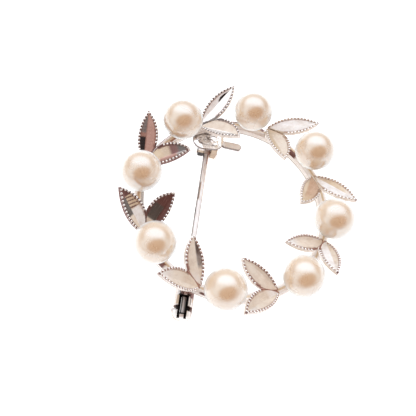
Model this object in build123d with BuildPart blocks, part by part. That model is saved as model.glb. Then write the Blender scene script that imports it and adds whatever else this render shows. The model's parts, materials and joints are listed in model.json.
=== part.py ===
from build123d import *
import math
import os

# Wreath brooch: a silver wire ring with eight leaf pairs and eight pearls, and a hinged pin behind.
# All lengths are millimetres. The wreath is laid out flat, with its back on Z = 0 and its front up,
# and is then tipped as one body onto the three points on which the brooch lies.

# Ring
ring_radius = 15.45
ring_width = 1.6
ring_height = 1.7
ring_top_bevel = 0.35
ring_back_bevel = 0.2

# Pearls, their cups and pegs
pearl_diameter = 6.5
pearl_stand_out = 0.45
pearl_lift = 0.6
pearl_seat_gap = 0.06
drill_diameter = 0.84
drill_depth = 4.0
peg_diameter = 0.7
peg_end_gap = 0.25
cup_rim_radius = 1.45
cup_foot_radius = 0.95
solder_depth = 0.3

# Pearls, clockwise from the upper left. A turn is degrees clockwise from an even eighth, an out is a
# share of the pearls' circle, and a size is a share of the pearl's diameter.
first_pearl_angle = 125.8
PEARL_COLUMNS = ("turn", "out", "size")
PEARLS = [
    (-0.4, -0.007, 1.01),
    (0.1, 0.008, 1.00),
    (-0.4, 0.012, 1.02),
    (1.2, -0.020, 1.01),
    (-0.9, 0.008, 1.00),
    (-0.1, 0.000, 0.99),
    (0.6, 0.005, 0.99),
    (-0.1, -0.004, 0.99),
]

# Leaf pairs, one after each pearl. All are one casting, and each was soldered on a little askew:
# out is a share of the ring's radius, lift a share of the leaf's lift, and the rest are degrees.
spray_lag = 11.4
leaf_lift = 0.95
SPRAY_COLUMNS = ("turn", "out", "lift", "yaw", "pitch", "bank")
SPRAYS = [
    (1.7, -0.003, -0.66, -1.7, 3.8, -4.2),
    (0.3, 0.014, 0.25, 0.7, -6.2, -1.1),
    (-0.8, -0.049, -0.05, 0.4, -5.3, -3.9),
    (-0.1, -0.005, 0.07, 0.0, 3.2, 5.4),
    (-0.6, 0.021, -0.52, 6.5, -5.2, 2.5),
    (0.5, 0.025, 0.17, -1.4, 8.1, 4.1),
    (-1.4, 0.020, -0.01, 0.0, 10.9, 8.3),
    (0.4, 0.036, -0.75, 1.3, -7.7, -3.6),
]

# Each leaf is a boat with a V valley, a raised rim and pointed ends. Its two halves differ, the one
# that faces the sister leaf being the wider. Offset, length and both halves are shares of the leaf's
# length, and the rest are degrees.
leaf_length = 8.85
leaf_wall = 0.6
leaf_dish_angle = 14.0
leaf_belly = 0.49
leaf_rim_width = 0.32
leaf_rim_height = 0.12
leaf_foot_radius = 0.75
leaf_foot_reach = 0.9
LEAF_COLUMNS = ("offset", "length", "left", "right", "splay", "rise", "roll")
LEAVES = {
    "outer": (0.017, 1.0, 0.156, 0.2226, 20.0, 29.0, 0.0),
    "inner": (-0.017, 0.8814, 0.2644, 0.1198, -53.0, 22.0, 2.0),
}

# Pin line: the pivot of the pin inside the ring, and the direction of the stem seen from the front
pivot_inset = 2.743
pivot_angle = 107.02
pin_depth = 3.04
pin_turn = 7.5

# Hinge
plate_length = 5.4
plate_width = 4.0
plate_thickness = 0.5
plate_shift = 0.95
plate_aside = 0.25
tag_length = 3.4
tag_width = 1.2
ear_radius = 0.87
ear_thickness = 0.95
ear_gap = 1.2
rivet_diameter = 0.84
rivet_clearance = 0.03
rivet_head_radius = 0.62
rivet_head_height = 0.25

# Pin stem
knuckle_radius = 0.8
knuckle_side_gap = 0.05
knuckle_bore_gap = 0.05
stem_diameter = 0.94
stem_root_diameter = 1.1
stem_straight = 13.0
stem_neck_diameter = 0.54
stem_point_length = 2.6
stem_point_diameter = 0.12
stem_end_gap = 0.3
stem_ear_gap = 0.38

# Catch barrel and its turning sleeve
catch_ahead = 1.08
catch_length = 5.7
catch_radius = 1.5
catch_bore_radius = 1.1
catch_slot_width = 1.0
catch_end_wall = 0.6
catch_end_round = 0.9
catch_saddle_width = 1.7
catch_saddle_length = 1.8
roller_clearance = 0.04
roller_bore_radius = 0.65
roller_end_gap = 0.12
groove_reach = 4.0
groove_width = 0.8
window_angle = 98.0
window_width = 1.5
window_start_gap = 0.15
roller_window_width = 1.15
roller_window_end_gap = 0.25
tab_angle = 215.0
tab_width = 0.56
tab_proud = 0.45
tab_end_gap = 0.08
tab_side_angle = 18.0
roller_turn = 180.0

LEAF_LENGTHS = ("offset", "length", "left", "right")
# Search for the lie on the floor: the lean to the left that it starts from, and its rounds
first_lean = 11.0
rest_rounds = 20

pearl_rows = [dict(zip(PEARL_COLUMNS, row)) for row in PEARLS]
spray_rows = [dict(zip(SPRAY_COLUMNS, row)) for row in SPRAYS]
leaf_rows = [dict(zip(LEAF_COLUMNS, row)) for row in LEAVES.values()]
for row in leaf_rows:
    row.update({column: leaf_length * row[column] for column in LEAF_LENGTHS})
pearl_circle_radius = ring_radius + pearl_stand_out
pearl_centre_height = ring_height + pearl_lift + pearl_diameter / 2
station_step = 360 / len(PEARLS)
pin_axis_angle = math.radians(pin_turn)
pin_along = Vector(-math.sin(pin_axis_angle), -math.cos(pin_axis_angle), 0)
pin_across = Vector(math.cos(pin_axis_angle), -math.sin(pin_axis_angle), 0)
front = Vector(0, 0, 1)


def around(radius, angle, height):
    """Point at a radius and a turn about the wreath's axis."""
    turn = math.radians(angle)
    return Vector(radius * math.cos(turn), radius * math.sin(turn), height)


# Pivot of the pin, and the barrel's start a little ahead of where the pin passes behind the ring
pivot = around(ring_radius - pivot_inset, pivot_angle, -pin_depth)
pivot_along = pivot.dot(pin_along)
pivot_aside = pivot.dot(pin_across)
ring_crossing = math.sqrt(ring_radius**2 - pivot_aside**2) - pivot_along
catch_reach = ring_crossing - catch_ahead


def pearl_angle(index):
    """Turn of a pearl about the wreath's axis."""
    return first_pearl_angle - station_step * index - pearl_rows[index]["turn"]


def pearl_centre(index):
    """Centre of a pearl above the ring."""
    radius = pearl_circle_radius * (1 + pearl_rows[index]["out"])
    return around(radius, pearl_angle(index), pearl_centre_height)


def spray_angle(index):
    """Turn of the root of the leaf pair that follows a pearl."""
    return first_pearl_angle - station_step * index - spray_lag - spray_rows[index]["turn"]


def across_pin(reach, turn=0):
    """Plane square to the pin at a distance from the pivot, X to the right, or turned to the front."""
    x_dir = pin_across.rotate(Axis((0, 0, 0), pin_along), turn)
    return Plane(origin=pivot + pin_along * reach, x_dir=x_dir, z_dir=pin_along)


def beside_pin(offset):
    """Plane along the pin and square to the rivet, X along the pin and Y to the back."""
    return Plane(origin=pivot + pin_across * offset, x_dir=pin_along, z_dir=pin_across)


def spray_height(index):
    """Height of the root of a leaf pair."""
    return ring_height + leaf_lift * (1 + spray_rows[index]["lift"])


def leaf_plane(index, leaf):
    """Plane of a leaf: its origin at the leaf's root, X along its valley and Z out of its dish."""
    row = spray_rows[index]
    angle = spray_angle(index)
    root = around(ring_radius * (1 + row["out"]) + leaf["offset"], angle, spray_height(index))
    sideways = around(1, angle - row["yaw"], 0)
    clockwise = around(1, angle - row["yaw"] - 90, 0)
    pitching = Axis((0, 0, 0), sideways)
    clockwise = clockwise.rotate(pitching, -row["pitch"])
    upward = front.rotate(pitching, -row["pitch"])
    banking = Axis((0, 0, 0), clockwise)
    sideways = sideways.rotate(banking, row["bank"])
    upward = upward.rotate(banking, row["bank"])
    splay = math.radians(leaf["splay"])
    rise = math.radians(leaf["rise"])
    level = clockwise * math.cos(splay) + sideways * math.sin(splay)
    along = level * math.cos(rise) + upward * math.sin(rise)
    upright = upward * math.cos(rise) - level * math.sin(rise)
    return Plane(origin=root, x_dir=along, z_dir=upright.rotate(Axis((0, 0, 0), along), leaf["roll"]))


def leaf_outline(leaf, inset):
    """Pointed oval along X, drawn with two tangent arcs a side."""
    belly = leaf_belly * leaf["length"]
    with BuildLine() as edge:
        for half_width in (leaf["left"] - inset, inset - leaf["right"]):
            TangentArc((belly, half_width), (2 * inset, 0), tangent=(-1, 0))
            TangentArc((belly, half_width), (leaf["length"] - 2 * inset, 0), tangent=(1, 0))
    return edge.line


def leaf_trough(plane, leaf, high, low):
    """Bar with the V of the leaf's valley for a section, from one height above the valley to another."""
    half = leaf["left"] + leaf["right"]
    climb = half * math.tan(math.radians(leaf_dish_angle))
    section = Plane(origin=plane.origin, x_dir=plane.y_dir, z_dir=plane.x_dir)
    upper = [(-half, climb + high), (0, high), (half, climb + high)]
    lower = [(half, climb + low), (0, low), (-half, climb + low)]
    with BuildPart() as bar:
        with BuildSketch(section):
            with BuildLine():
                Polyline(*upper, *lower, close=True)
            make_face()
        extrude(amount=leaf["length"])
    return bar.part


def leaf_body(index, leaf):
    """One leaf of a pair: the dished blade and the raised rim along its edge."""
    plane = leaf_plane(index, leaf)
    blade_trough = leaf_trough(plane, leaf, 0, -leaf_wall)
    rim_trough = leaf_trough(plane, leaf, leaf_rim_height, -leaf_wall / 2)
    height = leaf["left"] + leaf["right"]
    with BuildPart() as blade:
        with BuildSketch(plane):
            add(leaf_outline(leaf, 0))
            make_face()
        extrude(amount=height, both=True)
        add(blade_trough, mode=Mode.INTERSECT)
    with BuildPart() as rim:
        with BuildSketch(plane):
            add(leaf_outline(leaf, 0))
            make_face()
            with BuildSketch(mode=Mode.SUBTRACT):
                add(leaf_outline(leaf, leaf_rim_width))
                make_face()
        extrude(amount=height, both=True)
        add(rim_trough, mode=Mode.INTERSECT)
    return blade.part, rim.part


# Ring: round wire with a flat back and a bevelled top
with BuildPart() as ring:
    with BuildSketch(Plane.XZ):
        with Locations((ring_radius, ring_height / 2)):
            wire = Rectangle(ring_width, ring_height)
        chamfer(wire.vertices().group_by(Axis.Y)[-1], ring_top_bevel)
        chamfer(wire.vertices().group_by(Axis.Y)[0], ring_back_bevel)
    revolve(axis=Axis.Z)

# Pearl cups: flared dishes soldered on the ring, each with a peg up its middle
cup_bodies = []
for index, row in enumerate(pearl_rows):
    centre = pearl_centre(index)
    pearl_radius = pearl_diameter * row["size"] / 2
    seat_radius = pearl_radius + pearl_seat_gap
    cup_rim_height = centre.Z - math.sqrt(seat_radius**2 - cup_rim_radius**2)
    cup_foot = ring_height - solder_depth
    peg_top = centre.Z - pearl_radius + drill_depth - peg_end_gap
    upright_plane = Plane(origin=(centre.X, centre.Y, 0), x_dir=(1, 0, 0), z_dir=(0, -1, 0))
    with BuildPart() as cup:
        with BuildSketch(upright_plane):
            with BuildLine():
                Polyline(
                    (0, cup_foot),
                    (cup_foot_radius, cup_foot),
                    (cup_foot_radius, ring_height),
                    (cup_rim_radius, cup_rim_height),
                    (0, cup_rim_height),
                    close=True,
                )
            make_face()
        revolve(axis=Axis((centre.X, centre.Y, 0), (0, 0, 1)))
        with Locations(centre):
            Sphere(seat_radius, mode=Mode.SUBTRACT)
        with BuildSketch(Plane(origin=(centre.X, centre.Y, cup_foot))):
            Circle(peg_diameter / 2)
        extrude(amount=peg_top - cup_foot)
    cup_bodies.append(cup.part)

# Leaf pairs: two leaves from one root, on a foot soldered to the ring
leaf_bodies = []
for index in range(len(spray_rows)):
    for leaf in leaf_rows:
        leaf_bodies += leaf_body(index, leaf)
    reach_angle = math.degrees(leaf_foot_reach / ring_radius)
    foot_centre = around(ring_radius, spray_angle(index) - reach_angle, ring_height - solder_depth)
    with BuildPart() as foot:
        with BuildSketch(Plane(origin=foot_centre)):
            Circle(leaf_foot_radius)
        extrude(amount=spray_height(index) - foot_centre.Z)
    leaf_bodies.append(foot.part)

# Hinge: an oval plate behind the ring with a plain tag beside it and two ears for the rivet
ear_offset = ear_gap / 2
ear_edge = ear_offset + ear_thickness
ear_drop = pin_depth - plate_thickness + solder_depth / 2
rivet_hole_radius = rivet_diameter / 2 + rivet_clearance
plate_centre = Vector(pivot.X - plate_aside, pivot.Y + plate_shift, 0)
tag_centre = Vector(pivot.X + (plate_length + tag_length - tag_width) / 2, pivot.Y, 0)
with BuildPart() as hinge:
    with BuildSketch(Plane(origin=plate_centre)):
        RectangleRounded(plate_length, plate_width, plate_width * 0.45)
    extrude(amount=-plate_thickness)
    with BuildSketch(Plane(origin=tag_centre, x_dir=pin_across)):
        SlotOverall(tag_length, tag_width)
    extrude(amount=-plate_thickness)
    for offset in (ear_offset, -ear_edge):
        with BuildSketch(beside_pin(offset)):
            Circle(ear_radius)
            with Locations((0, -ear_drop / 2)):
                Rectangle(2 * ear_radius, ear_drop)
            Circle(rivet_hole_radius, mode=Mode.SUBTRACT)
        extrude(amount=ear_thickness)

# Catch: a barrel along the pin, open at the back for the stem, with a groove for the tab and a long
# window in its front, past the saddle
catch_end = catch_reach + catch_length
catch_wall_end = catch_end - catch_end_wall
groove_start = catch_reach + groove_reach - groove_width / 2
groove_first = tab_angle - roller_turn - tab_side_angle
groove_last = tab_angle + tab_side_angle
groove_middle = (groove_first + groove_last) / 2
groove_radius = 2 * catch_radius
window_start = catch_reach + catch_saddle_length + window_start_gap
with BuildPart() as barrel:
    with BuildSketch(across_pin(catch_reach)):
        Circle(catch_radius)
    extrude(amount=catch_length)
    end_edge = barrel.edges().sort_by(Axis(pivot, pin_along))[-1]
    fillet(end_edge, catch_end_round)
    with BuildSketch(across_pin(catch_reach)):
        with Locations((0, (pin_depth - catch_radius / 2) / 2)):
            Rectangle(catch_saddle_width, pin_depth + catch_radius / 2)
    extrude(amount=catch_saddle_length)
    with BuildSketch(across_pin(catch_reach)):
        Circle(catch_bore_radius)
    extrude(amount=catch_wall_end - catch_reach, mode=Mode.SUBTRACT)
    with BuildSketch(across_pin(catch_reach)):
        with Locations((0, -catch_radius)):
            Rectangle(catch_slot_width, 2 * catch_radius)
    extrude(amount=catch_wall_end - catch_reach, mode=Mode.SUBTRACT)
    with BuildSketch(across_pin(window_start, window_angle)):
        with Locations((catch_radius, 0)):
            Rectangle(2 * catch_radius, window_width)
    extrude(amount=catch_wall_end - window_start, mode=Mode.SUBTRACT)
    with BuildSketch(across_pin(groove_start)):
        with BuildLine():
            first_corner = around(groove_radius, groove_first, 0)
            last_corner = around(groove_radius, groove_last, 0)
            middle_point = around(groove_radius, groove_middle, 0)
            Line((0, 0), first_corner)
            ThreePointArc(first_corner, middle_point, last_corner)
            Line(last_corner, (0, 0))
        make_face()
    extrude(amount=groove_width, mode=Mode.SUBTRACT)

# Wreath frame: everything that is soldered together
with BuildPart() as wreath_frame:
    add(ring.part)
    for body in cup_bodies + leaf_bodies:
        add(body)
    add(hinge.part)
    add(barrel.part)

# Pearls: half-drilled balls on the pegs
pearls = []
for index, row in enumerate(pearl_rows):
    centre = pearl_centre(index)
    pearl_radius = pearl_diameter * row["size"] / 2
    with BuildPart() as pearl:
        with Locations(centre):
            Sphere(pearl_radius)
        with BuildSketch(Plane(origin=(centre.X, centre.Y, centre.Z - 2 * pearl_radius))):
            Circle(drill_diameter / 2)
        extrude(amount=pearl_radius + drill_depth, mode=Mode.SUBTRACT)
    pearls.append(pearl)

# Pin stem: a knuckle round the rivet and a wire, thicker at its root, that ends in a point in the catch
stem_root = (knuckle_radius + rivet_diameter / 2 + knuckle_bore_gap) / 2
stem_free_start = ear_radius + stem_ear_gap
stem_tip = catch_wall_end - stem_end_gap
stem_neck = stem_tip - stem_point_length
with BuildPart() as pin_stem:
    with BuildSketch(beside_pin(-ear_offset + knuckle_side_gap)):
        Circle(knuckle_radius)
    extrude(amount=ear_gap - 2 * knuckle_side_gap)
    with BuildSketch(beside_pin(0)):
        with BuildLine():
            Polyline(
                (stem_root, 0),
                (stem_root, stem_root_diameter / 2),
                (stem_free_start, stem_diameter / 2),
                (stem_straight, stem_diameter / 2),
                (stem_neck, stem_neck_diameter / 2),
                (stem_tip, stem_point_diameter / 2),
                (stem_tip, 0),
                close=True,
            )
        make_face()
    revolve(axis=Axis(pivot, pin_along))
    with BuildSketch(beside_pin(-ear_offset)):
        Circle(rivet_diameter / 2 + knuckle_bore_gap)
    extrude(amount=ear_gap, mode=Mode.SUBTRACT)

# Hinge rivet: a shank through the ears with a low head outside each
with BuildPart() as hinge_rivet:
    with BuildSketch(beside_pin(-ear_edge - rivet_clearance)):
        Circle(rivet_diameter / 2)
    extrude(amount=2 * (ear_edge + rivet_clearance))
    for offset in (ear_edge + rivet_clearance, -ear_edge - rivet_clearance - rivet_head_height):
        with BuildSketch(beside_pin(offset)):
            Circle(rivet_head_radius)
        extrude(amount=rivet_head_height)

# Catch roller: a slit sleeve that turns in the barrel, with a window of its own and a tab out through
# the groove
roller_start = catch_reach + roller_end_gap
roller_end = catch_wall_end - roller_end_gap
roller_radius = catch_bore_radius - roller_clearance
tab_root = roller_bore_radius + roller_clearance
tab_reach = catch_radius + tab_proud
with BuildPart() as catch_roller:
    with BuildSketch(across_pin(roller_start)):
        Circle(roller_radius)
        Circle(roller_bore_radius, mode=Mode.SUBTRACT)
        with Locations((0, -catch_radius)):
            Rectangle(catch_slot_width, 2 * catch_radius, mode=Mode.SUBTRACT)
    extrude(amount=roller_end - roller_start)
    with BuildSketch(across_pin(window_start, window_angle)):
        with Locations((catch_radius, 0)):
            Rectangle(2 * catch_radius, roller_window_width)
    extrude(amount=roller_end - roller_window_end_gap - window_start, mode=Mode.SUBTRACT)
    tab_plane = across_pin(groove_start + tab_end_gap, tab_angle)
    with BuildSketch(tab_plane):
        with Locations(((tab_reach + tab_root) / 2, 0)):
            tab_section = Rectangle(tab_reach - tab_root, tab_width)
        fillet(tab_section.vertices().group_by(Axis.X)[-1], tab_width * 0.4)
    extrude(amount=groove_width - 2 * tab_end_gap)


def lowest_points(normal):
    """Points of the ring, the catch's end and the hinge's ear that lie furthest from the front."""
    ring_turn = Vector(-normal.X, -normal.Y, 0).normalized()
    catch_turn = (pin_along * normal.dot(pin_along) - normal).normalized()
    ear_turn = (pin_across * normal.dot(pin_across) - normal).normalized()
    on_ring = ring_turn * (ring_radius + ring_width / 2 - ring_back_bevel)
    on_catch = pivot + pin_along * catch_wall_end + catch_turn * catch_radius
    on_ear = pivot + pin_across * ear_edge + ear_turn * ear_radius
    return on_ring, on_catch, on_ear


# Rest: the plane through those three points, found by taking them again for each new tilt
floor_normal = front.rotate(Axis((0, 0, 0), (0, 1, 0)), -first_lean)
for _ in range(rest_rounds):
    on_ring, on_catch, on_ear = lowest_points(floor_normal)
    floor_normal = (on_ear - on_catch).cross(on_catch - on_ring).normalized()
    if floor_normal.Z < 0:
        floor_normal = floor_normal * -1
level_x = Vector(floor_normal.Z, 0, -floor_normal.X).normalized()
to_floor = Plane(origin=on_ring, x_dir=level_x, z_dir=floor_normal).location.inverse()

pieces = {"wreath_frame": wreath_frame}
for index, pearl in enumerate(pearls):
    pieces[f"pearl_{index + 1}"] = pearl
pieces["pin_stem"] = pin_stem
pieces["hinge_rivet"] = hinge_rivet
pieces["catch_roller"] = catch_roller

for piece in pieces.values():
    piece.part = to_floor * piece.part
span = Compound(children=[piece.part.moved(Location()) for piece in pieces.values()]).bounding_box()
to_middle = Location((-span.center().X, -span.center().Y, -span.min.Z))

os.makedirs("parts", exist_ok=True)
for name, piece in pieces.items():
    piece.part = to_middle * piece.part
    piece.part.label = name
    export_step(piece.part, f"parts/{name}.step")

# Places in the finished frame, in millimetres, for whoever fastens or moves the brooch
resting = to_middle * to_floor
pin_middle = pivot + pin_along * (stem_free_start + stem_straight) / 2


def placed(point):
    """A point of the flat wreath, moved with the brooch onto the floor."""
    spot = (resting * Location(tuple(point))).position
    return tuple(round(value, 4) for value in spot)


def turned(direction):
    """A direction of the flat wreath, turned with the brooch."""
    tip = (resting * Location(tuple(direction))).position - resting.position
    return tuple(round(value, 6) for value in tip)


print("tilt", round(math.degrees(math.acos(floor_normal.Z)), 2), "normal", turned(front))
print("size", round(span.size.X, 2), round(span.size.Y, 2), round(span.size.Z, 2))
print("hinge at", placed(pivot), "axis", turned(pin_across))
print("roller at", placed(pivot + pin_along * (catch_reach + groove_reach)), "axis", turned(pin_along))
print("stem middle", placed(pin_middle), "radius", stem_diameter / 2)
print("stem free length", round(stem_straight - stem_free_start, 3))
print("wreath centre", placed(Vector(0, 0, pearl_centre_height)))
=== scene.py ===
import json
import math

import bmesh
import bpy
from mathutils import Matrix, Vector
from mathutils.noise import fractal


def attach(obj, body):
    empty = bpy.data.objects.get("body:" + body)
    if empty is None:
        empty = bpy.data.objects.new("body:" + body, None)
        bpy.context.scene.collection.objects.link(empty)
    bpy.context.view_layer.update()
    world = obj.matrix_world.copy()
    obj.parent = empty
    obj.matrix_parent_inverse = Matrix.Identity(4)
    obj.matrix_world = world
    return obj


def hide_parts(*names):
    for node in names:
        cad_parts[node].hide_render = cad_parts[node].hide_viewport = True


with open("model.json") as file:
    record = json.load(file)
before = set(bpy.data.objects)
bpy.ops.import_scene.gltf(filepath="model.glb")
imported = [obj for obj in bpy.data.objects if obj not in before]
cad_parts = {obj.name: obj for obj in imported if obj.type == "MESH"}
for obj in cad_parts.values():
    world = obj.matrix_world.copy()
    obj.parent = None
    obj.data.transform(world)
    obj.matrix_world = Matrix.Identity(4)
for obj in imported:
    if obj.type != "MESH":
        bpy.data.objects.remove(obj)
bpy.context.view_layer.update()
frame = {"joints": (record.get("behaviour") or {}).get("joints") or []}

# Sizes of the solids in millimetres, in the layout of the flat wreath: back on Z = 0 and front up
MM = 0.001
RING_RADIUS, RING_WIDTH, RING_HEIGHT = 15.45, 1.6, 1.7
RING_TOP_BEVEL, RING_BACK_BEVEL = 0.35, 0.2
PEARL_DIAMETER, PEARL_CIRCLE, PEARL_LIFT = 6.5, 15.9, 0.6
PEARL_SEAT_GAP, DRILL_RADIUS, DRILL_DEPTH = 0.06, 0.42, 4.0
PEG_RADIUS, PEG_END_GAP = 0.35, 0.25
CUP_RIM_RADIUS, CUP_FOOT_RADIUS = 1.45, 0.95
SOLDER_DEPTH = 0.3
FIRST_PEARL_ANGLE, STATION_STEP = 125.8, 45.0
PEARL_COLUMNS = ("turn", "out", "size")
PEARLS = [
    (-0.4, -0.007, 1.01),
    (0.1, 0.008, 1.00),
    (-0.4, 0.012, 1.02),
    (1.2, -0.020, 1.01),
    (-0.9, 0.008, 1.00),
    (-0.1, 0.000, 0.99),
    (0.6, 0.005, 0.99),
    (-0.1, -0.004, 0.99),
]
SPRAY_LAG, LEAF_LIFT = 11.4, 0.95
SPRAY_COLUMNS = ("turn", "out", "lift", "yaw", "pitch", "bank")
SPRAYS = [
    (1.7, -0.003, -0.66, -1.7, 3.8, -4.2),
    (0.3, 0.014, 0.25, 0.7, -6.2, -1.1),
    (-0.8, -0.049, -0.05, 0.4, -5.3, -3.9),
    (-0.1, -0.005, 0.07, 0.0, 3.2, 5.4),
    (-0.6, 0.021, -0.52, 6.5, -5.2, 2.5),
    (0.5, 0.025, 0.17, -1.4, 8.1, 4.1),
    (-1.4, 0.020, -0.01, 0.0, 10.9, 8.3),
    (0.4, 0.036, -0.75, 1.3, -7.7, -3.6),
]
LEAF_LENGTH, LEAF_WALL, LEAF_DISH, LEAF_BELLY = 8.85, 0.6, 14.0, 0.49
LEAF_FOOT_RADIUS, LEAF_FOOT_REACH = 0.75, 0.9
LEAF_COLUMNS = ("offset", "length", "left", "right", "splay", "rise", "roll", "sister")
LEAF_LENGTHS = ("offset", "length", "left", "right")
LEAVES = [
    (0.017, 1.0, 0.156, 0.2226, 20.0, 29.0, 0.0, -1),
    (-0.017, 0.8814, 0.2644, 0.1198, -53.0, 22.0, 2.0, 1),
]
PIVOT_RADIUS, PIVOT_ANGLE, PIN_DEPTH, PIN_TURN = 12.707, 107.02, 3.04, 7.5
PLATE_LENGTH, PLATE_WIDTH, PLATE_THICKNESS, PLATE_SHIFT, PLATE_ASIDE = 5.4, 4.0, 0.5, 0.95, 0.25
TAG_LENGTH, TAG_WIDTH = 3.4, 1.2
EAR_RADIUS, EAR_THICKNESS, EAR_GAP = 0.87, 0.95, 1.2
RIVET_RADIUS, RIVET_CLEARANCE, RIVET_HEAD_RADIUS, RIVET_HEAD_HEIGHT = 0.42, 0.03, 0.62, 0.25
KNUCKLE_RADIUS, KNUCKLE_SIDE_GAP, KNUCKLE_BORE_GAP = 0.8, 0.05, 0.05
STEM_RADIUS, STEM_ROOT_RADIUS, STEM_FREE_START, STEM_STRAIGHT = 0.47, 0.55, 1.25, 13.0
STEM_POINT_RADIUS, STEM_END_GAP = 0.06, 0.3
CATCH_REACH, CATCH_LENGTH, CATCH_RADIUS, CATCH_BORE_RADIUS = 25.0027, 5.7, 1.5, 1.1
CATCH_SLOT_WIDTH, CATCH_END_WALL, CATCH_END_ROUND = 1.0, 0.6, 0.9
CATCH_SADDLE_WIDTH, CATCH_SADDLE_LENGTH = 1.7, 1.8
ROLLER_CLEARANCE, ROLLER_BORE_RADIUS, ROLLER_END_GAP = 0.04, 0.65, 0.12
GROOVE_REACH, GROOVE_WIDTH, ROLLER_TURN = 4.0, 0.8, 180.0
WINDOW_ANGLE, WINDOW_WIDTH, WINDOW_START_GAP = 98.0, 1.5, 0.15
ROLLER_WINDOW_WIDTH, ROLLER_WINDOW_END_GAP = 1.15, 0.25
TAB_ANGLE, TAB_WIDTH, TAB_PROUD, TAB_END_GAP, TAB_SIDE_ANGLE = 215.0, 0.56, 0.45, 0.08, 18.0

# Detail of the leaves: rows along and across a blade, its hollow flanks, its raised rim (share of
# its width, share of its rise), the beads, the tips with their darker end, the flutes with painted
# shade in their cuts, and the mitre between sisters
STATIONS, FLANK_STEPS, BLADE_START, BLADE_END, LEAST_WIDTH = 120, 8, 0.012, 0.988, 0.02
LEAF_HOLLOW, LEAF_EDGE_INSET, EDGE_LINE, RIM_WIDTH, RIM_RAISE = 0.12, 0.09, 0.02, 0.36, 0.03
RIM_ROWS = [(1.0, 0.0), (0.86, 0.7), (0.66, 1.0), (0.5, 1.0), (0.34, 1.0), (0.14, 0.7), (0.0, 0.0)]
RIM_MOST = 0.6
BEAD_LENGTH, BEAD_WIDTH, BEAD_HEIGHT, BEAD_PITCH = 0.42, 0.42, 0.32, 0.57
BEAD_INSET, BEAD_SINK, BEAD_START, BEAD_END, BEAD_LEAST_ASIDE = 0.25, 0.03, 0.25, 0.3, 0.05
BEAD_SEARCH_STEPS, BEAD_HEADING_STEP, BEAD_FIRST_SHARE = 400, 0.05, 0.5
BEAD_MESH, TIP_MESH, PAIR_LAY_STEP = (6, 10), (8, 14), 20
TIP_DARK_LENGTH, TIP_BALL_RADIUS, TIP_BALL_BACK, TIP_BALL_DROP = 0.5, 0.22, 0.27, 0.1
FLUTE_PITCH, FLUTE_DEPTH, FLUTE_SLANT, FINE_FLUTE_DEPTH = 0.56, 0.05, 12.0, 0.008
FLUTED_FROM, FLUTED_TO, FLUTE_SHADE = 0.55, 0.8, 0.34
MITRE_SPLAY, MITRE_GAP = -14.0, 0.03
FOOT_SPREAD, FOOT_SEGMENTS = 1.15, 32

# Detail of the pearls, the hinge, the pin's tip and the catch
PEARL_FLATNESS, PEARL_STEPS, PEARL_SEGMENTS = 0.004, 64, 96
CUP_STEPS, CUP_SEGMENTS, SOFT_CORNER = 12, 48, 0.1
PLATE_ROWS = (0.97, 0.92, 0.87, 0.82, 0.76, 0.7, 0.64, 0.56, 0.48, 0.4, 0.32, 0.24, 0.16, 0.08, 0.0)
PLATE_DOME, PLATE_EDGE, PLATE_ROUND, PLATE_FALL_START = 0.1, 0.08, 0.45, 0.9
PLATE_RIPPLE, RIPPLE_SCALE, RIPPLE_DETAIL = 0.09, 0.9, (0.8, 2.0, 3)
TAG_DOME, TAG_EDGE, OUTLINE_POINTS, DARK_PLATE_EDGE = 0.02, 0.05, 96, 0.03
DARK_TAG_EDGE, DARK_TAG_RIM = 0.02, 0.06
EAR_OVERLAP, EAR_STEPS, SHEET_BEVEL, KNUCKLE_BEVEL, KNUCKLE_STEPS = 0.15, 96, 0.08, 0.06, 64
RIVET_BEVEL, RIVET_SEGMENTS, STEM_ROW_LENGTH, PIN_SEGMENTS = 0.14, 48, 0.4, 72
TIP_TAPER, TIP_NECK_RADIUS, TIP_NECK_TAPER = 0.4, 0.37, 0.9
BAND_INNER, BAND_OUTER, BAND_DEPTH, BAND_OVERLAP, BAND_END_GAP = 0.32, 0.72, 0.6, 0.05, 0.1
BARREL_ROWS, BARREL_END_STEPS, BARREL_SEGMENTS, GROOVE_OVERLAP = 31, 8, 72, 2
SADDLE_TOP, SADDLE_BEVEL, TAB_BEVEL = 1.2, 0.12, 0.1
ROLLER_SLOT_WIDTH, ROLLER_LINING = 0.76, 0.27

# Ring: fine rows of its section, the painted reflection of a strip along its top, and how far down
# its painted dark slivers reach
RING_EDGE, RING_ROW_WIDTH, RING_SEGMENTS = 0.08, 0.12, 256
RING_STRIP, RING_REFLECTION_DROP, RING_TOP_SHARE, RING_DARK_SHARE = 0.16, 0.55, 0.6, 0.3
# Painted reflections of the shaded undersides of the pearls and leaves, as dark slivers on the
# ring: first and last angle, from and to on its top, tone
RING_PAINTED_REFLECTIONS = [
    (84, 91, 0.3, 0.9, "maroon"),
    (69, 76, 0.0, 0.9, "maroon"),
    (43, 50, -0.8, -0.1, "maroon"),
    (20, 26, 0.1, 0.9, "rose"),
    (128, 136, -0.5, -0.2, "rose"),
    (128, 148, 0.62, 0.9, "maroon"),
    (174, 190, -0.75, -0.35, "steel"),
    (174, 190, 0.1, 0.35, "peach"),
    (221, 226, 0.1, 0.9, "maroon"),
    (249, 254, 0.62, 0.9, "maroon"),
]

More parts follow.
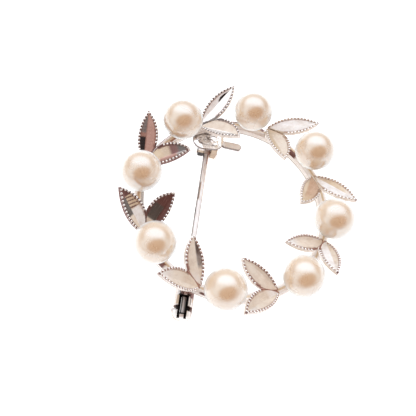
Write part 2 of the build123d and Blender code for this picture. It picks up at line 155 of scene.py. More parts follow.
# Tones of the metal, most of them painted reflections and shade: colour, and how metallic it is,
# from frosted to polished
METAL_AND_PAINTED_LIGHT_TONES = {
    "white": (1.0, 1.0, 1.0, 0.08),
    "mirror": (0.97, 0.96, 0.95, 0.8),
    "bright": (0.97, 0.965, 0.96, 0.4),
    "satin": (0.9, 0.87, 0.84, 0.15),
    "cream": (0.86, 0.77, 0.66, 0.1),
    "sand": (0.76, 0.63, 0.46, 0.1),
    "peach": (0.66, 0.47, 0.34, 0.15),
    "tan": (0.62, 0.5, 0.38, 0.3),
    "rose": (0.47, 0.28, 0.235, 0.6),
    "maroon": (0.2, 0.1, 0.09, 0.5),
    "steel": (0.5, 0.48, 0.46, 0.5),
    "grey": (0.28, 0.25, 0.245, 0.7),
    "dark": (0.14, 0.125, 0.115, 0.5),
    "black": (0.035, 0.028, 0.03, 0.6),
}
# Painted reflections and shade on each leaf flank, as tones from root to tip: outer leaf left and
# right, inner leaf left and right
FLANK_PAINTED_LIGHT = [
    ("white white white", "mirror mirror mirror", "cream cream cream", "mirror mirror steel"),
    ("white white satin steel", "satin satin satin", "sand cream cream", "sand sand cream"),
    ("cream sand satin", "satin white satin", "peach peach sand", "tan sand sand"),
    ("cream cream satin", "white white satin", "cream cream satin", "white cream satin"),
    ("cream cream satin", "white cream cream", "cream cream cream", "cream cream cream"),
    ("cream cream satin", "cream cream satin", "satin cream cream", "cream cream steel grey steel"),
    (
        "cream cream cream cream cream cream dark dark dark dark maroon maroon maroon",
        "white white white white white white white sand sand sand maroon maroon maroon",
        "cream cream cream cream dark dark dark dark maroon maroon maroon maroon maroon",
        "rose rose maroon maroon maroon maroon",
    ),
    (
        "black black black black black black black rose grey grey grey grey rose rose",
        "rose rose rose",
        "sand sand sand tan maroon dark maroon",
        "cream cream rose rose steel maroon",
    ),
]
WHITE = (1.0, 1.0, 1.0)
# Depth of the reliefs in millimetres
WAVE_DEPTH, STAIN_DEPTH, NACRE_DEPTH, STROKE_DEPTH, SCRATCH_DEPTH = 0.02, 0.01, 0.004, 0.004, 0.001
# Where the change from one tone to the next starts and how long it takes, as shares of the way
TONE_HOLD, TONE_CHANGE, ALMOST_ONE = 0.3, 0.4, 0.999
# Painted shade between the beads of each pair's edges
RIM_PAINTED_SHADE = ["grey", "tan", "tan", "rose", "rose", "rose", "maroon", "maroon"]
# Flank that has cuts across it: pair, sister, side
FLUTED = (6, -1, -1)
# Dark streak beside a valley: pair, sister, side, share of the length from and to, width, lean
STREAKS = [(0, -1, 1, 0.56, 0.86, 0.42, 0.7)]

# Painted reflections and shade as stripes along the pin and the catch barrel, with a painted glint
# on the barrel: first and last angle (from the right side over the front to the left), from and to
# along the piece, tone
STEM_PAINTED_LIGHT = [
    (36, 72, -1.0, 2.8, "rose"),
    (120, 165, 6.4, 9.4, "grey"),
    (104, 120, 6.4, 9.4, "tan"),
    (135, 172, 11.2, 12.4, "black"),
    (62, 74, 2.8, 6.4, "peach"),
    (92, 104, 2.8, 6.4, "sand"),
    (20, 48, 9.4, 25.0, "grey"),
    (24, 44, 2.8, 30.0, "tan"),
    (0, 24, -1.0, 30.0, "steel"),
    (132, 200, -1.0, 30.0, "grey"),
    (200, 360, -1.0, 30.0, "satin"),
]
BARREL_PAINTED_LIGHT = [
    (0, 60, -1.0, 2.3, "maroon"),
    # Painted glint where the window starts
    (84, 100, 1.85, 2.05, "white"),
    (60, 130, -1.0, 2.05, "black"),
    (0, 27, 2.3, 4.8, "maroon"),
    (29, 44, 2.3, 2.9, "tan"),
    (46, 58, 2.3, 3.3, "grey"),
    (128, 146, 2.0, 3.5, "tan"),
    (146, 158, -1.0, 3.5, "satin"),
    (170, 182, -1.0, 5.7, "peach"),
    (182, 360, -1.0, 5.7, "satin"),
]
# Thin dark curves on the hinge plate: centre, radius, first and last angle, width
PLATE_CURVES = [
    (0.2, 1.6, 3.0, 215, 285, 0.09),
    (-0.6, -1.2, 2.0, 60, 125, 0.08),
    (0.4, 0.4, 0.7, 150, 290, 0.07),
    (0.9, -0.9, 1.3, 70, 150, 0.07),
    (-1.6, 0.3, 0.6, 90, 200, 0.08),
]

pearl_rows = [dict(zip(PEARL_COLUMNS, row)) for row in PEARLS]
spray_rows = [dict(zip(SPRAY_COLUMNS, row)) for row in SPRAYS]
leaf_rows = [dict(zip(LEAF_COLUMNS, row)) for row in LEAVES]
for row in leaf_rows:
    row.update({column: LEAF_LENGTH * row[column] for column in LEAF_LENGTHS})

# Floor, studio and camera. A card's azimuth runs from the hinge end to the right, and its sizes are
# half angles.
FLOOR_HALF = 1.5
CARD_COLUMNS = ("azimuth", "elevation", "wide", "tall", "soft", "colour")
TENT, HORIZON = (1.2, 1.19, 1.18), (0.57, 0.52, 0.5)
CARDS = [
    (15.0, 18.0, 75.0, 30.0, 0.5, (0.76, 0.75, 0.74)),
    (-66.0, 24.0, 26.0, 11.0, 0.3, (0.5, 0.48, 0.48)),
    (62.0, 20.0, 22.0, 13.0, 0.3, (0.5, 0.46, 0.44)),
    (5.0, 60.0, 44.0, 27.0, 0.3, (1.9, 1.97, 2.14)),
    (165.0, 45.0, 50.0, 35.0, 0.2, (0.3, 0.15, 0.09)),
]
LENS, SENSOR_WIDTH, NEAREST, FARTHEST = 56.54, 36, 0.005, 20
CAMERA_PLACE = (-0.0048728, -0.0480400, 0.0991740)
CAMERA_AZIMUTH, CAMERA_DIP, CAMERA_ROLL = -0.5555, 63.4147, -0.6166

# Sharpest edge that is shaded smooth, a rounded corner (steps, most of a side that it takes), and
# the width and the least angle of a softened edge
SHARP_ANGLE, CURVE_STEPS, CORNER_MOST, CARVED_BEVEL, CARVED_ANGLE = 35, 4, 0.45, 0.03, 40

# The brooch's own axes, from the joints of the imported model
joints = {joint["name"]: joint for joint in frame["joints"]}
across = Vector(joints["pin_hinge"]["axis"]).normalized()
along = -Vector(joints["catch_turn"]["axis"]).normalized()
front = along.cross(across).normalized()
pin_turn = math.radians(PIN_TURN)
right = (across * math.cos(pin_turn) - along * math.sin(pin_turn)).normalized()
upright = front.cross(right)
TURN = Matrix((right, upright, front)).transposed()


def around(radius, angle, height):
    """Place at a radius, an angle and a height in the flat wreath."""
    turn = math.radians(angle)
    return Vector((radius * math.cos(turn), radius * math.sin(turn), height))


pivot = around(PIVOT_RADIUS, PIVOT_ANGLE, -PIN_DEPTH)
pin_along = Vector((-math.sin(pin_turn), -math.cos(pin_turn), 0))
pin_across = Vector((math.cos(pin_turn), -math.sin(pin_turn), 0))
hinge_place = Vector(joints["pin_hinge"]["pos_m"])
BROOCH = Matrix.Translation(hinge_place - TURN @ (pivot * MM)) @ TURN.to_4x4() @ Matrix.Scale(MM, 4)


def pearl_centre(index):
    """Centre of a pearl."""
    row = pearl_rows[index]
    angle = FIRST_PEARL_ANGLE - STATION_STEP * index - row["turn"]
    height = RING_HEIGHT + PEARL_LIFT + PEARL_DIAMETER / 2
    return around(PEARL_CIRCLE * (1 + row["out"]), angle, height)


def spray_angle(index):
    """Angle at which a leaf pair is rooted."""
    return FIRST_PEARL_ANGLE - STATION_STEP * index - SPRAY_LAG - spray_rows[index]["turn"]


def spray_height(index):
    """Height at which a leaf pair is rooted."""
    return RING_HEIGHT + LEAF_LIFT * (1 + spray_rows[index]["lift"])


def placed_axes(origin, x_dir, z_dir):
    """Matrix with a plane's axes in its columns."""
    z_dir = z_dir.normalized()
    x_dir = x_dir.normalized()
    turn = Matrix((x_dir, z_dir.cross(x_dir), z_dir)).transposed()
    return Matrix.Translation(origin) @ turn.to_4x4()


def spray_axes(index):
    """Clockwise, outward and upward directions of a leaf pair."""
    row = spray_rows[index]
    angle = spray_angle(index)
    sideways = around(1, angle - row["yaw"], 0)
    pitching = Matrix.Rotation(math.radians(-row["pitch"]), 3, sideways)
    clockwise = pitching @ around(1, angle - row["yaw"] - 90, 0)
    upward = pitching @ Vector((0, 0, 1))
    banking = Matrix.Rotation(math.radians(row["bank"]), 3, clockwise)
    return clockwise, banking @ sideways, banking @ upward


def leaf_root(index, offset):
    """Root of a leaf, aside from the middle of its pair by an offset."""
    radius = RING_RADIUS * (1 + spray_rows[index]["out"]) + offset
    return around(radius, spray_angle(index), spray_height(index))


def leaf_axes(index, leaf):
    """Axes of a leaf: X along its valley and Z out of its dish."""
    clockwise, sideways, upward = spray_axes(index)
    splay = math.radians(leaf["splay"])
    rise = math.radians(leaf["rise"])
    level = clockwise * math.cos(splay) + sideways * math.sin(splay)
    lengthwise = level * math.cos(rise) + upward * math.sin(rise)
    out_of_dish = upward * math.cos(rise) - level * math.sin(rise)
    out_of_dish = Matrix.Rotation(math.radians(leaf["roll"]), 3, lengthwise) @ out_of_dish
    return placed_axes(leaf_root(index, leaf["offset"]), lengthwise, out_of_dish)


def add_object(name, content):
    """Object of the scene from a mesh or the camera's data."""
    thing = bpy.data.objects.new(name, content)
    bpy.context.scene.collection.objects.link(thing)
    return thing


def add_piece(mesh, materials, body, node):
    """Piece of the brooch from a mesh in millimetres of the wreath's layout."""
    mesh.transform(BROOCH)
    mesh.shade_smooth()
    mesh.set_sharp_from_angle(angle=math.radians(SHARP_ANGLE))
    for material in materials:
        mesh.materials.append(material)
    piece = add_object(mesh.name, mesh)
    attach(piece, body)
    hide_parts(node)


def frame_piece(mesh, materials):
    """Piece of the soldered frame."""
    add_piece(mesh, materials, "frame", "wreath_frame")


def mesh_from(name, points, faces, marks=None, lays=None, tones=None):
    """Mesh with a material, a lay and a tone for its faces and points where they are given."""
    mesh = bpy.data.meshes.new(name)
    mesh.from_pydata([tuple(point) for point in points], [], faces)
    if marks:
        mesh.polygons.foreach_set("material_index", marks)
    if lays:
        layer = mesh.attributes.new("lay", "FLOAT_VECTOR", "POINT")
        layer.data.foreach_set("vector", [part for lay in lays for part in lay])
        layer = mesh.attributes.new("tone", "FLOAT_COLOR", "POINT")
        layer.data.foreach_set("color", [part for tone in tones for part in tone])
    shape = bmesh.new()
    shape.from_mesh(mesh)
    bmesh.ops.remove_doubles(shape, verts=shape.verts, dist=1e-5)
    bmesh.ops.recalc_face_normals(shape, faces=shape.faces)
    shape.to_mesh(mesh)
    shape.free()
    return mesh


def rounded(points, radius, closed=False):
    """Line of points with each corner turned into a small curve."""
    line = []
    count = len(points)
    for index, point in enumerate(points):
        corner = Vector(point)
        if not closed and index in (0, count - 1):
            line.append(corner)
            continue
        before = Vector(points[index - 1]) - corner
        after = Vector(points[(index + 1) % count]) - corner
        start = corner + before.normalized() * min(radius, before.length * CORNER_MOST)
        end = corner + after.normalized() * min(radius, after.length * CORNER_MOST)
        for step in range(CURVE_STEPS + 1):
            share = step / CURVE_STEPS
            middle = corner * 2 * share * (1 - share)
            line.append(start * (1 - share) ** 2 + middle + end * share**2)
    return line


def grid_faces(columns, rows, columns_meet, rows_meet):
    """Faces between columns of points, whose last column and row may meet the first."""
    faces = []
    for column in range(columns if columns_meet else columns - 1):
        here, there = column * rows, (column + 1) % columns * rows
        for row in range(rows if rows_meet else rows - 1):
            above = (row + 1) % rows
            faces.append((here + row, there + row, there + above, here + above))
    return faces


def lathe(profile, axes, segments, closed=False):
    """Points and faces of a profile of (radius, height) pairs turned about the axes' Z."""
    points = []
    for step in range(segments):
        angle = 2 * math.pi * step / segments
        for radius, height in profile:
            place = Vector((radius * math.cos(angle), radius * math.sin(angle), height))
            points.append(axes @ place)
    return points, grid_faces(segments, len(profile), True, closed)


def joined(parts):
    """One set of points and faces from several."""
    points, faces = [], []
    for part_points, part_faces in parts:
        base = len(points)
        points += part_points
        faces += [tuple(base + corner for corner in face) for face in part_faces]
    return points, faces


def ball(centre, radius, axes, rings, segments):
    """Points and faces of a small ball."""
    arc = [math.pi * step / rings for step in range(rings + 1)]
    profile = [(radius * math.sin(angle), -radius * math.cos(angle)) for angle in arc]
    return lathe(profile, axes @ Matrix.Translation(centre), segments)


def half_width(leaf, side, x):
    """Half width of a leaf on one side, from two arcs that meet at its belly."""
    widest = leaf["left"] if side > 0 else leaf["right"]
    belly = LEAF_BELLY * leaf["length"]
    reach = belly if x < belly else leaf["length"] - belly
    radius = (reach**2 + widest**2) / (2 * widest)
    return widest - radius + math.sqrt(max(radius**2 - (x - belly) ** 2, 0))


def flank_height(y, width):
    """Height of a flank above the valley's line."""
    share = abs(y) / max(width, 1e-6)
    slope = math.tan(math.radians(LEAF_DISH))
    return abs(y) * slope * (1 + LEAF_HOLLOW * (share - 1))


def flute(x, y):
    """Saw-toothed height of the cuts across a flank, from 0 to 1."""
    place = x + abs(y) * math.tan(math.radians(FLUTE_SLANT))
    return place / FLUTE_PITCH % 1


def is_fluted(index, leaf, side, x):
    """Whether a flank has cuts across it at a place along the leaf."""
    return (index, leaf["sister"], side) == FLUTED and FLUTED_FROM < x / leaf["length"] < FLUTED_TO


def leaf_tone(index, leaf, x, y, side):
    """Painted tone at a place on a flank of a leaf: reflections and shade on the flank, shade along
    its rim and in its cuts.
    """
    outer = leaf is leaf_rows[0]
    share = x / leaf["length"]
    from_edge = half_width(leaf, side, x) - LEAF_EDGE_INSET - abs(y)
    # Painted shade along the rim's edge line and between its beads
    if from_edge < EDGE_LINE:
        return METAL_AND_PAINTED_LIGHT_TONES["satin" if index < RIM_PAINTED_SHADE.index("maroon") else "maroon"]
    if from_edge < RIM_WIDTH:
        return METAL_AND_PAINTED_LIGHT_TONES[RIM_PAINTED_SHADE[index]]
    # Painted shade in the flute cuts, with their lit faces in sand
    if is_fluted(index, leaf, side, x):
        return METAL_AND_PAINTED_LIGHT_TONES["maroon" if flute(x, y) < FLUTE_SHADE else "sand"]
    for *flank, start, end, widest, lean in STREAKS:
        if flank == [index, leaf["sister"], side] and start < share < end:
            if abs(y) < widest * math.sin(math.pi * ((share - start) / (end - start)) ** lean):
                return METAL_AND_PAINTED_LIGHT_TONES["black"]
    # Painted reflections and shade along the flank, from its table
    names = FLANK_PAINTED_LIGHT[index][(0 if outer else 2) + (0 if side > 0 else 1)].split()
    place = min(max(share, 0), ALMOST_ONE) * (len(names) - 1)
    step = int(place)
    mixed = min(max((place - step - TONE_HOLD) / TONE_CHANGE, 0), 1)
    first, second = METAL_AND_PAINTED_LIGHT_TONES[names[step]], METAL_AND_PAINTED_LIGHT_TONES[names[step + 1]]
    return tuple(a + (b - a) * mixed for a, b in zip(first, second))


def mitre_limit(index, leaf, axes):
    """Rule for how far the flank that faces the sister leaf reaches at a place along the leaf."""
    clockwise, sideways, upward = spray_axes(index)
    splay = math.radians(MITRE_SPLAY)
    mitre_line = clockwise * math.cos(splay) + sideways * math.sin(splay)
    mitre_out = upward.cross(mitre_line).normalized() * -leaf["sister"]
    mitre_root = leaf_root(index, 0)
    slope = math.tan(math.radians(LEAF_DISH))
    closing = -(axes.to_3x3() @ Vector((0, leaf["sister"], slope))).dot(mitre_out)

    def limit(x):
        """Width at which the mitre cuts the flank."""
        start = (axes @ Vector((x, 0, 0)) - mitre_root).dot(mitre_out) - MITRE_GAP
        return start / closing if closing > 0 else math.inf

    return limit


def half_section(index, leaf, side, x, limit):
    """Points across a flank, from the valley over the rim and down the wall, and if it is whole."""
    width = half_width(leaf, side, x) - LEAF_EDGE_INSET
    whole = side != leaf["sister"] or limit(x) >= width
    width = max(width if whole else limit(x), LEAST_WIDTH)
    rim = min(RIM_WIDTH, RIM_MOST * width)
    depth = FLUTE_DEPTH if is_fluted(index, leaf, side, x) else FINE_FLUTE_DEPTH
    half = []
    for step in range(FLANK_STEPS):
        y = (width - rim) * step / FLANK_STEPS
        cut = flute(x, y) * math.sin(math.pi * step / FLANK_STEPS)
        half.append((x, side * y, flank_height(y, width) - cut * depth))
    for inward, raised in RIM_ROWS:
        y = width - rim * inward
        half.append((x, side * y, flank_height(y, width) + (RIM_RAISE * raised if whole else 0)))
    half.append((x, side * width, flank_height(width, width) - LEAF_WALL))
    return half, whole


def bead_row(leaf, side, axes, limit):
    """Beads along one edge of a leaf, short of the mitre."""
    beads = []
    length = leaf["length"]
    travelled, before = 0.0, None
    for step in range(BEAD_SEARCH_STEPS + 1):
        x = length * step / BEAD_SEARCH_STEPS
        width = half_width(leaf, side, x)
        place = Vector((x, width))
        if before is not None:
            travelled += (place - before).length
        before = place
        if travelled < BEAD_PITCH * BEAD_FIRST_SHARE:
            continue
        travelled -= BEAD_PITCH
        at_mitre = side == leaf["sister"] and limit(x) < width + BEAD_LENGTH / 2
        y = width - BEAD_INSET
        if at_mitre or y < BEAD_LEAST_ASIDE or not BEAD_START < x < length - BEAD_END:
            continue
        z = flank_height(y, width) - BEAD_SINK
        ahead, behind = x + BEAD_HEADING_STEP, x - BEAD_HEADING_STEP
        beyond = half_width(leaf, side, ahead) - half_width(leaf, side, behind)
        heading = math.atan2(side * beyond, 2 * BEAD_HEADING_STEP)
        turn = Matrix.Translation((x, side * y, z)) @ Matrix.Rotation(heading, 4, "Z")
        shape = Matrix.Diagonal((BEAD_LENGTH / 2, BEAD_WIDTH / 2, BEAD_HEIGHT / 2, 1))
        beads.append(ball(Vector(), 1, axes @ turn @ shape, *BEAD_MESH))
    return beads


def leaf_shape(index, leaf):
    """Blade of a leaf with its rim, the beads along the rim and the ball at the tip."""
    axes = leaf_axes(index, leaf)
    limit = mitre_limit(index, leaf, axes)
    length = leaf["length"]
    first, last = BLADE_START * length, BLADE_END * length
    middle = FLANK_STEPS + len(RIM_ROWS)
    points, marks, lays, tones, trimmed_stations = [], [], [], [], []
    for station in range(STATIONS + 1):
        x = first + (last - first) * station / STATIONS
        left_half, left_whole = half_section(index, leaf, 1, x, limit)
        right_half, right_whole = half_section(index, leaf, -1, x, limit)
        ring = left_half[::-1] + right_half[1:] + [(x, 0, -LEAF_WALL)]
        trimmed_stations.append(not (left_whole and right_whole))
        points += [axes @ Vector(point) for point in ring]
        lays += [(x + PAIR_LAY_STEP * index, y, 0) for x, y, z in ring]
        for row, (x, y, z) in enumerate(ring):
            tones.append(leaf_tone(index, leaf, x, y, 1 if row < middle else -1))
    rows = len(ring)
    faces = grid_faces(STATIONS + 1, rows, False, True)
    for station in range(STATIONS):
        for row in range(rows):
            from_middle = abs(row + 0.5 - middle)
            side = 1 if row < middle else -1
            trimmed = side == leaf["sister"] and trimmed_stations[station]
            in_rim = FLANK_STEPS - 1 < from_middle < middle - 1 and not trimmed
            at_tip = station > STATIONS * (1 - TIP_DARK_LENGTH / length) and from_middle < middle - 1
            marks.append(1 if in_rim or at_tip else 0)
    faces += [tuple(range(rows)), tuple(range(STATIONS * rows, (STATIONS + 1) * rows))]
    marks += [0, 0]
    beads = bead_row(leaf, 1, axes, limit) + bead_row(leaf, -1, axes, limit)
    tip_place = Vector((length - TIP_BALL_BACK, 0, -TIP_BALL_DROP))
    tip = ball(tip_place, TIP_BALL_RADIUS, axes, *TIP_MESH)
    return points, faces, marks, lays, tones, joined(beads), tip


def add_node(tree, kind, inputs=None, **settings):
    """Node with its settings made and its inputs set or linked."""
    node = tree.nodes.new(kind)
    for key, value in settings.items():
        setattr(node, key, value)
    for key, value in (inputs or {}).items():
        if isinstance(value, bpy.types.NodeSocket):
            tree.links.new(value, node.inputs[key])
        else:
            node.inputs[key].default_value = value
    return node


def new_material(name, metallic, roughness):
    """Material with its tree and its shader."""
    material = bpy.data.materials.new(name)
    material.use_nodes = True
    shader = material.node_tree.nodes["Principled BSDF"]
    shader.inputs["Metallic"].default_value = metallic
    shader.inputs["Roughness"].default_value = roughness
    return material, material.node_tree, shader


def place_in_mm(tree, stretch=(1.0, 1.0, 1.0)):
    """Place on the piece in millimetres, stretched for long grain."""
    place = add_node(tree, "ShaderNodeTexCoord")
    inputs = {0: place.outputs["Object"], 1: [part / MM for part in stretch]}
    return add_node(tree, "ShaderNodeVectorMath", inputs, operation="MULTIPLY").outputs["Vector"]


def noise(tree, place, scale, detail, roughness, distortion=0.0):
    """Procedural noise at a place."""
    inputs = {"Vector": place, "Scale": scale, "Detail": detail}
    inputs.update({"Roughness": roughness, "Distortion": distortion})
    return add_node(tree, "ShaderNodeTexNoise", inputs).outputs["Fac"]


def remap(tree, value, low, high, to_low=0.0, to_high=1.0):
    """Value moved from one range to another, with soft ends."""
    inputs = {"Value": value, "From Min": low, "From Max": high}
    inputs.update({"To Min": to_low, "To Max": to_high})
    mapping = add_node(tree, "ShaderNodeMapRange", inputs, interpolation_type="SMOOTHSTEP")
    return mapping.outputs["Result"]


def blend_colours(tree, share, first, second, blend="MIX"):
    """Two colours mixed, each a colour or another node's output."""
    mixing = add_node(tree, "ShaderNodeMix", data_type="RGBA", blend_type=blend)
    for socket, value in ((0, share), (6, first), (7, second)):
        if isinstance(value, bpy.types.NodeSocket):
            tree.links.new(value, mixing.inputs[socket])
        elif socket:
            mixing.inputs[socket].default_value = (*value, 1)
        else:
            mixing.inputs[socket].default_value = value
    return mixing.outputs[2]


def mottled(tree, pattern, low, high, first, second):
    """One colour that gives way to another where a pattern rises from low to high."""
    return blend_colours(tree, remap(tree, pattern, low, high), first, second)


def relief(tree, shader, height, depth_mm, under=None):
    """Fine relief of a given depth on the shader's normal, over another if there is one."""
    inputs = {"Height": height, "Distance": depth_mm * MM, "Strength": 1.0}
    if under:
        inputs["Normal"] = under
    normal = add_node(tree, "ShaderNodeBump", inputs).outputs["Normal"]
    tree.links.new(normal, shader.inputs["Normal"])
    return normal


def surface(tree, shader, colour, roughness):
    """Colour and roughness of a shader from nodes."""
    tree.links.new(colour, shader.inputs["Base Color"])
    tree.links.new(roughness, shader.inputs["Roughness"])


def polished_silver():
    """White metal with a slight waviness, faint scratches and darker clouds."""
    material, tree, shader = new_material("silver", 1.0, 0.1)
    place = place_in_mm(tree)
    clouds = noise(tree, place, 0.55, 4.0, 0.6)
    colour = mottled(tree, clouds, 0.35, 0.7, (0.96, 0.95, 0.935), (0.8, 0.765, 0.73))
    scratches = noise(tree, place_in_mm(tree, (1.0, 1.0, 0.2)), 6.0, 5.0, 0.65)
    surface(tree, shader, colour, remap(tree, scratches, 0.35, 0.75, 0.05, 0.2))
    waves = relief(tree, shader, noise(tree, place, 0.5, 2.0, 0.4), WAVE_DEPTH)
    relief(tree, shader, scratches, SCRATCH_DEPTH, waves)
    return material


def painted_tone_and_wear(tree, shader, strokes, clouds, marks, stains, rough, depth):
    """Painted tone of the surface, its reflections and shade, made darker along its strokes and in
    its clouds as worn metal, with the relief of both.
    """
    marking = add_node(tree, "ShaderNodeAttribute", attribute_name="tone")
    tree.links.new(marking.outputs["Alpha"], shader.inputs["Metallic"])
    colour = marking.outputs["Color"]
    for pattern, (low, high, shade) in ((strokes, marks), (clouds, stains)):
        worn = mottled(tree, pattern, low, high, WHITE, shade)
        colour = blend_colours(tree, 1.0, colour, worn, "MULTIPLY")
    surface(tree, shader, colour, remap(tree, strokes, *rough))
    relief(tree, shader, strokes, depth, relief(tree, shader, clouds, WAVE_DEPTH))


def engraved_silver():
    """Leaf metal in the painted tone of each flank, its reflections and shade, with hand-cut grain
    along it.
    """
    material, tree, shader = new_material("silver_leaf", 0.4, 0.2)
    lay = add_node(tree, "ShaderNodeAttribute", attribute_name="lay").outputs["Vector"]
    inputs = {0: lay, 1: (0.5, 5.0, 1.0)}
    stretched = add_node(tree, "ShaderNodeVectorMath", inputs, operation="MULTIPLY")
    strokes = noise(tree, stretched.outputs["Vector"], 1.6, 4.0, 0.6, 0.3)
    clouds = noise(tree, place_in_mm(tree), 0.9, 4.0, 0.62)
    marks, stains = (0.35, 0.7, (0.9, 0.88, 0.85)), (0.4, 0.66, (0.9, 0.86, 0.83))
    painted_tone_and_wear(tree, shader, strokes, clouds, marks, stains, (0.3, 0.75, 0.14, 0.32), STROKE_DEPTH)
    return material


def toned_silver(name, grain):
    """Wrought metal in the tones painted on its surface, mostly reflections and shade, with drawn
    scratches.
    """
    material, tree, shader = new_material(name, 0.5, 0.14)
    clouds = noise(tree, place_in_mm(tree), 0.7, 4.0, 0.6)
    scratches = noise(tree, place_in_mm(tree, grain), 5.0, 5.0, 0.65)
    marks, stains = (0.45, 0.75, (0.88, 0.86, 0.84)), (0.42, 0.68, (0.92, 0.89, 0.87))
    painted_tone_and_wear(tree, shader, scratches, clouds, marks, stains, (0.35, 0.75, 0.08, 0.24), SCRATCH_DEPTH)
    return material


def tint(mesh, rule):
    """Mesh with a tone at each point, by its name or by a rule on the point's place."""
    layer = mesh.attributes.new("tone", "FLOAT_COLOR", "POINT")
    colours = []
    for point in mesh.vertices:
        colours += METAL_AND_PAINTED_LIGHT_TONES[rule(point.co) if callable(rule) else rule]
    layer.data.foreach_set("color", colours)
    return mesh


def striped(axes, stripes, plain="white"):
    """Rule for tones that run along the axes' Z: each stripe from one angle to another."""
    inverse = axes.inverted()

    def rule(place):
        """Tone of the first stripe that holds the place."""
        place = inverse @ place
        angle = math.degrees(math.atan2(place.y, place.x)) % 360
        for first, last, start, end, name in stripes:
            if first <= angle < last and start <= place.z < end:
                return name
        return plain

    return rule


def leaf_hollows():
    """Painted shade between the beads of a leaf's edge, mottled reddish brown, and the dark end of
    its tip, darker where the leaf's painted tone is dark.
    """
    material, tree, shader = new_material("silver_recess", 0.4, 0.4)
    tone = add_node(tree, "ShaderNodeAttribute", attribute_name="tone").outputs["Color"]
    stains = noise(tree, place_in_mm(tree), 2.2, 4.0, 0.6)
    bead_shade_colour = mottled(tree, stains, 0.4, 0.65, (0.5, 0.4, 0.37), (0.82, 0.74, 0.7))
    colour = blend_colours(tree, 1.0, tone, bead_shade_colour, "MULTIPLY")
    surface(tree, shader, colour, remap(tree, stains, 0.3, 0.7, 0.3, 0.5))
    relief(tree, shader, stains, STAIN_DEPTH)
    return material


def dark_silver(name, deep, raised, rough, metallic, gloss=0.5):
    """Dark metal, mottled like oxide, which paints the shade in hollows and cavities."""
    material, tree, shader = new_material(name, metallic, rough)
    shader.inputs["Specular IOR Level"].default_value = gloss
    stains = noise(tree, place_in_mm(tree), 2.2, 4.0, 0.6)
    roughness = remap(tree, stains, 0.3, 0.7, rough * 0.8, rough * 1.3)
    surface(tree, shader, mottled(tree, stains, 0.4, 0.65, deep, raised), roughness)
    relief(tree, shader, stains, STAIN_DEPTH)
    return material


def pearl_nacre():
    """Cream nacre with a soft, deep gloss, whose colour follows how it faces: deep orange facing
    the viewer and pale at the edge, partly nacre's orient and partly a painted reflection of the
    dark room.
    """
    material, tree, shader = new_material("nacre", 0.0, 0.26)
    shader.inputs["IOR"].default_value = 3.6
    shader.inputs["Specular Tint"].default_value = (0.68, 0.9, 1.0, 1)
    shader.inputs["Coat Weight"].default_value = 0.4
    shader.inputs["Coat Roughness"].default_value = 0.12
    place = place_in_mm(tree)
    clouds = noise(tree, place, 0.35, 3.0, 0.5)
    # Painted reflection: the deep orange where the pearl faces the viewer stands in partly for the
    # reflected dark room and partly for nacre's orient
    body = mottled(tree, clouds, 0.35, 0.65, (0.93, 0.65, 0.41), (0.91, 0.61, 0.37))
    facing = add_node(tree, "ShaderNodeLayerWeight", {"Blend": 0.35}).outputs["Facing"]
    colour = mottled(tree, facing, 0.22, 0.72, body, (0.95, 0.91, 0.87))
    surface(tree, shader, colour, remap(tree, clouds, 0.3, 0.7, 0.22, 0.3))
    relief(tree, shader, noise(tree, place, 2.5, 3.0, 0.5), NACRE_DEPTH)
    return material


def lit_paper():
    """White paper that is lit from below as well."""
    material, tree, shader = new_material("paper", 0.0, 0.9)
    fibres = noise(tree, place_in_mm(tree), 0.8, 5.0, 0.6)
    colour = mottled(tree, fibres, 0.3, 0.7, (0.86, 0.86, 0.86), (0.84, 0.84, 0.84))
    tree.links.new(colour, shader.inputs["Base Color"])
    shader.inputs["Emission Color"].default_value = (1, 1, 1, 1)
    shader.inputs["Emission Strength"].default_value = 0.68
    return material


silver = polished_silver()
leaf_silver = engraved_silver()
recess = leaf_hollows()
# The brown metal paints the shade in the catch's groove and darkens the outer leaves' tip balls;
# the black paints the shade inside the catch barrel and on the roller seen through its window
brown = dark_silver("silver_brown", (0.16, 0.085, 0.075), (0.42, 0.3, 0.27), 0.3, 0.35)
DEEP_BLACK, MOTTLED_BLACK = (0.005, 0.004, 0.004), (0.022, 0.016, 0.016)
black = dark_silver("silver_black_shade", DEEP_BLACK, MOTTLED_BLACK, 0.5, 0.7, 0.1)
wrought = toned_silver("silver_wrought", (1.0, 1.0, 1.0))
drawn = toned_silver("silver_drawn", (1.6, 0.12, 1.6))
nacre = pearl_nacre()
paper = lit_paper()

# Ring
half = RING_WIDTH / 2
section = [
    (RING_RADIUS - half, RING_BACK_BEVEL),
    (RING_RADIUS - half + RING_BACK_BEVEL, 0),
    (RING_RADIUS + half - RING_BACK_BEVEL, 0),
    (RING_RADIUS + half, RING_BACK_BEVEL),
    (RING_RADIUS + half, RING_HEIGHT - RING_TOP_BEVEL),
    (RING_RADIUS + half - RING_TOP_BEVEL, RING_HEIGHT),
    (RING_RADIUS - half + RING_TOP_BEVEL, RING_HEIGHT),
    (RING_RADIUS - half, RING_HEIGHT - RING_TOP_BEVEL),
]


def ring_tone(place):
    """Painted reflections on the ring: a strip along the middle of its top and dark slivers beside
    the pearls and leaves, which mirror their shaded undersides; its sides are darker near the back.
    """
    aside = math.hypot(place.x, place.y) - RING_RADIUS
    angle = math.degrees(math.atan2(place.y, place.x))
    near_top = place.z > RING_HEIGHT - RING_REFLECTION_DROP
    for first, last, start, end, name in RING_PAINTED_REFLECTIONS:
        if near_top and first <= angle % 360 < last and start < aside < end:
            return name
    if place.z < RING_HEIGHT - RING_TOP_BEVEL * RING_TOP_SHARE:
        return "satin" if place.z > RING_HEIGHT * RING_DARK_SHARE else "steel"
    return "sand" if abs(aside) < RING_STRIP else "white"


